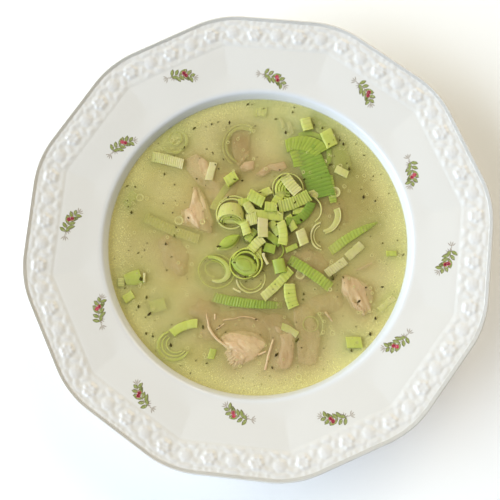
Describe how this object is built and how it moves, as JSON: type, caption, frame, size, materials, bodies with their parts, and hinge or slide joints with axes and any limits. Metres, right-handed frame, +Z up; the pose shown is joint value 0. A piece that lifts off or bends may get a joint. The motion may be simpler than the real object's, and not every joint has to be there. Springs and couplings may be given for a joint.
{
  "type": "soup plate of chicken broth",
  "caption": "Deep twelve-sided porcelain plate filled with cloudy chicken broth, chopped leek and torn chicken.",
  "frame": {"origin": "middle of the foot ring's underside, on the table", "axes": "+Z up through the middle of the plate; +X and +Y square to two of the rim's twelve flats"},
  "size_m": [0.229, 0.229, 0.04],
  "materials": {
    "porcelain": "white porcelain under a clear gloss glaze",
    "broth": "cloudy yellow broth with a wet surface",
    "leek_green": "wet green leek with fine cross ribs",
    "leek_pale": "wet pale yellow-green leek",
    "chicken": "wet torn poached chicken, pinkish beige",
    "enamel_print": "small sprigs printed under the glaze in green, grey brown and red",
    "pepper": "ground black pepper and dried herb"
  },
  "bodies": {
    "root": {"soup_plate": "porcelain", "broth": "broth", "leek_pile": "leek_pale", "leek_ribbon_front": "leek_green", "leek_ribbon_diagonal": "leek_green", "leek_ribbon_right": "leek_green", "leek_strip_right_back": "leek_pale", "leek_strip_right_front": "leek_pale", "leek_strip_left": "leek_pale", "leek_strip_pale": "leek_pale", "leek_strip_back": "leek_pale", "leek_strip_lower_left": "leek_pale", "leek_strip_pile_front": "leek_pale", "leek_curl_front": "leek_green", "leek_tongue": "leek_green", "leek_tongue_edge": "leek_green", "leek_tongue_tip": "leek_green", "leek_block_left": "leek_pale", "leek_block_back_left": "leek_pale", "leek_block_back_right": "leek_pale", "leek_block_lower_right": "leek_pale", "leek_disc_left": "leek_green", "leek_ring_left": "leek_pale", "leek_ring_front": "leek_pale", "leek_ring_lower_left": "leek_pale", "leek_curl_right_thin": "leek_pale", "leek_curl_right_thick": "leek_pale", "chicken_front": "chicken", "chicken_front_right": "chicken", "chicken_right": "chicken", "chicken_left": "chicken", "chicken_back_left": "chicken", "chicken_back_right": "chicken"}
  },
  "joints": []
}
